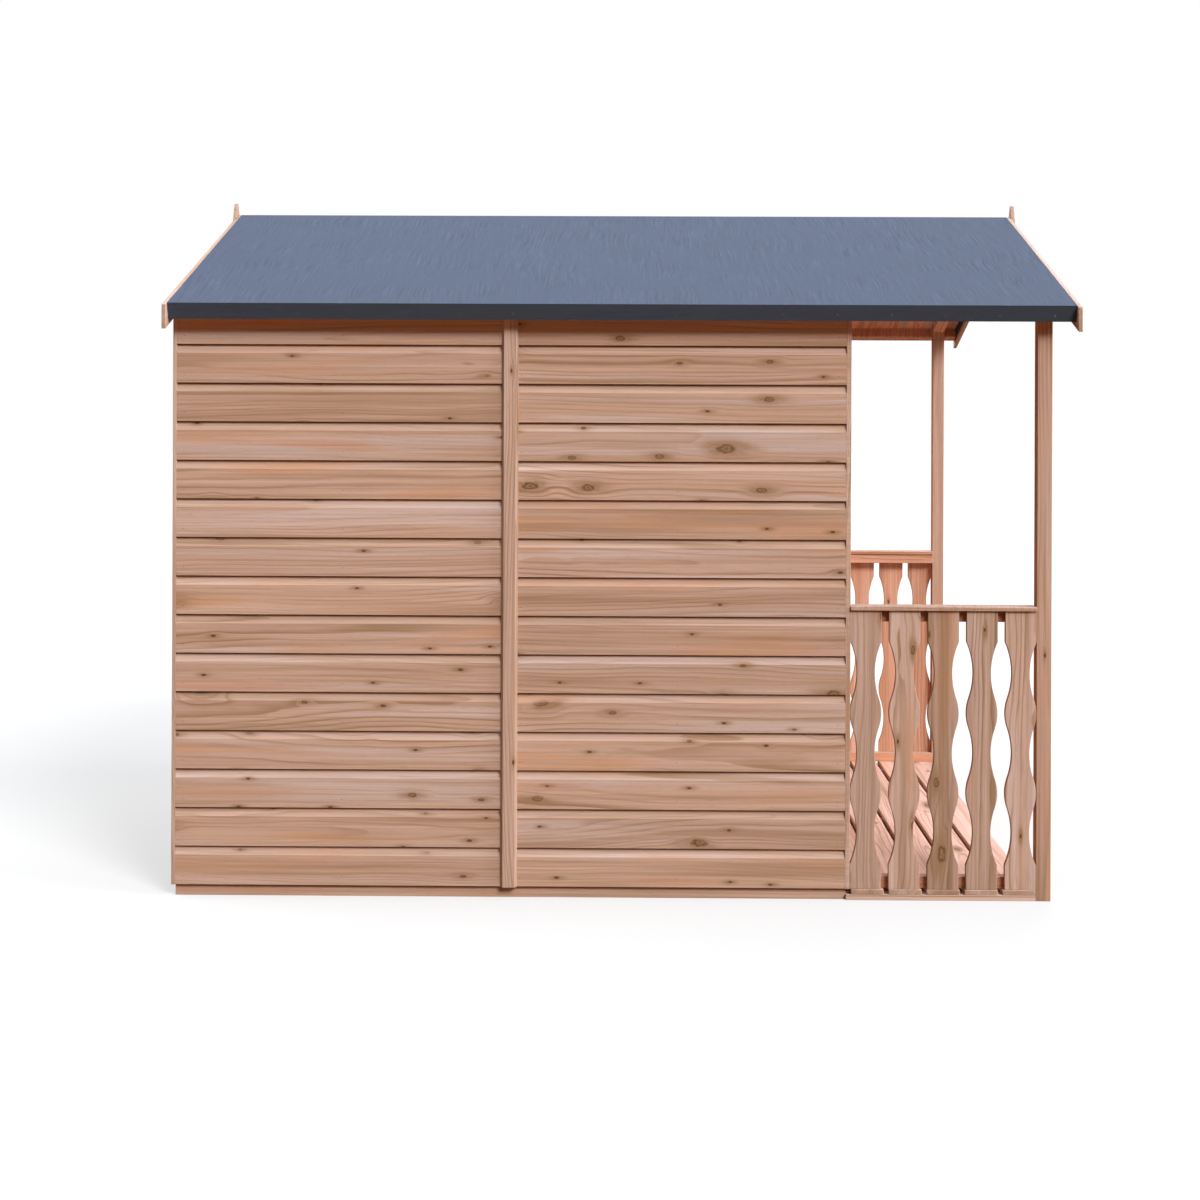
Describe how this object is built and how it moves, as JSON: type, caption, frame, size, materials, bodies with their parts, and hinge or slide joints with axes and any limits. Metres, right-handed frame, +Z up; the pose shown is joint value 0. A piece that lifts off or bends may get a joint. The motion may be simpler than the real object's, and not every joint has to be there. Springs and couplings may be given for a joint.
{
  "type": "garden cabin with veranda",
  "caption": "Timber garden cabin with shiplap walls, a felted apex roof and an open-fronted veranda with a balustrade on each side.",
  "frame": {"origin": "on the ground, at the middle of the whole building's box", "axes": "+X along the ridge from the rear gable to the veranda, +Y across the cabin from the near side wall to the far side wall, +Z up"},
  "size_m": [2.654, 2.187, 2.103],
  "materials": {
    "cladding_timber": "planed softwood shiplap, pinkish brown, knots and long grain",
    "trim_timber": "planed softwood trim, grain along each piece",
    "frame_timber": "sawn softwood framing",
    "bearer_timber": "sawn softwood floor frame and bearers",
    "floor_timber": "planed softwood floor boards",
    "deck_timber": "planed softwood deck boards laid across the veranda",
    "door_timber": "planed softwood, framed and boarded",
    "post_timber": "planed softwood post, upright grain",
    "rail_timber": "planed softwood rail",
    "baluster_timber": "planed softwood with sawn wavy edges, upright grain",
    "roof_timber": "softwood roof boards and battens, grain down the slope on the boards",
    "felt": "mineral roofing felt, blue grey, matt, fine streaks down the slope"
  },
  "bodies": {
    "root": {"floor_frame": "bearer_timber", "floor_boards": "floor_timber", "near_wall_rear_panel": "cladding_timber", "near_wall_front_panel": "cladding_timber", "near_cover_strip": "trim_timber", "near_wall_frame": "frame_timber", "far_wall_rear_panel": "cladding_timber", "far_wall_front_panel": "cladding_timber", "far_cover_strip": "trim_timber", "far_wall_frame": "frame_timber", "rear_wall": "cladding_timber", "rear_wall_frame": "frame_timber", "rear_corner_trims": "trim_timber", "front_wall_near_panel": "cladding_timber", "front_wall_far_panel": "cladding_timber", "front_wall_gable_panel": "cladding_timber", "front_wall_frame": "frame_timber", "front_corner_trims": "trim_timber", "door_casing": "trim_timber", "near_door": "door_timber", "far_door": "door_timber", "veranda_bearers": "bearer_timber", "veranda_deck_boards": "deck_timber", "near_post": "post_timber", "far_post": "post_timber", "veranda_truss": "frame_timber", "near_handrail": "rail_timber", "near_balustrade_rails": "rail_timber", "near_balusters": "baluster_timber", "far_handrail": "rail_timber", "far_balustrade_rails": "rail_timber", "far_balusters": "baluster_timber", "near_roof_boards": "roof_timber", "far_roof_boards": "roof_timber", "near_roof_battens": "roof_timber", "far_roof_battens": "roof_timber", "roof_felt": "felt", "near_rear_bargeboard": "trim_timber", "far_rear_bargeboard": "trim_timber", "near_front_bargeboard": "trim_timber", "far_front_bargeboard": "trim_timber", "rear_finial": "trim_timber", "front_finial": "trim_timber"}
  },
  "joints": []
}
